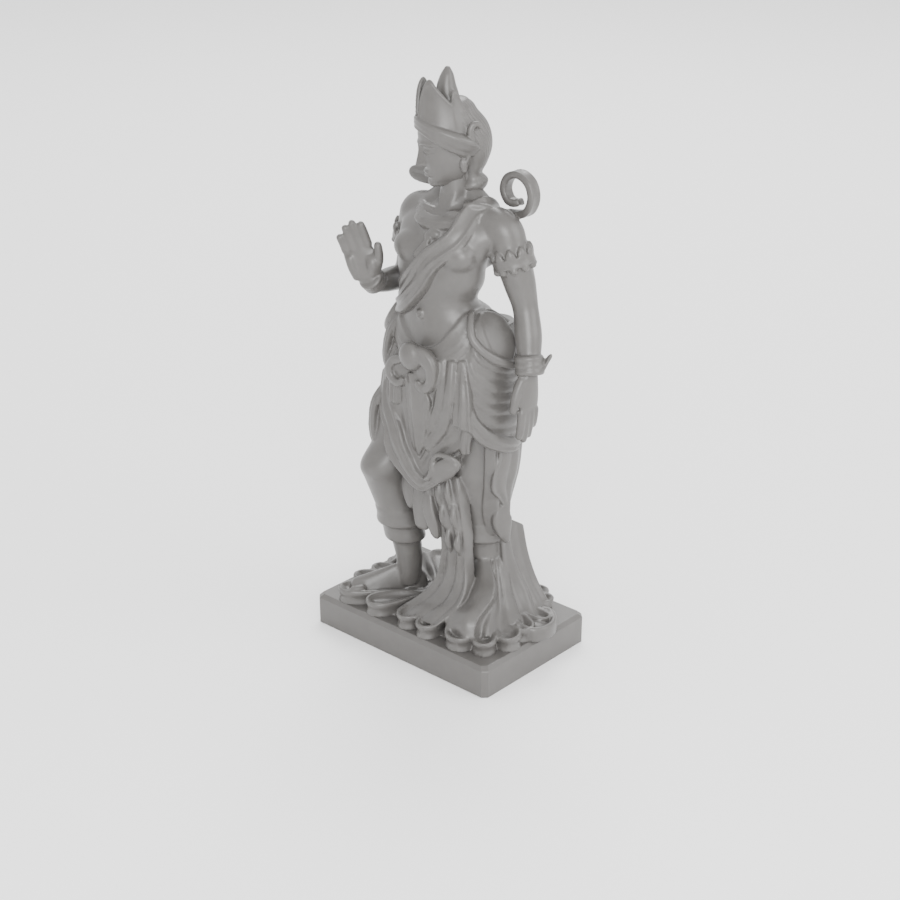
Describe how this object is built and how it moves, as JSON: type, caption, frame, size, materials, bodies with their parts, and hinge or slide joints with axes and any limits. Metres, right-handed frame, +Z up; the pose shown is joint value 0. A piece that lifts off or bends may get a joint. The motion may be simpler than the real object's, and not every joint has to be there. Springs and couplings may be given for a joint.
{
  "type": "amitabha buddha figure",
  "caption": "Tall crowned figure with a raised hand and looped drapery, on a lotus pedestal and a rectangular plinth; stands as an ornament.",
  "frame": {"origin": "centre of the plinth's flat underside", "axes": "+Z up the figure; -Y the way the chest faces; +X the figure's own left, along the plinth's long side"},
  "size_m": [0.1244, 0.08, 0.2991],
  "materials": {
    "plinth_stone": "satin grey cast stone resin",
    "figure_stone": "satin grey cast stone resin"
  },
  "bodies": {
    "root": {"plinth": "plinth_stone", "figure": "figure_stone"}
  },
  "joints": []
}
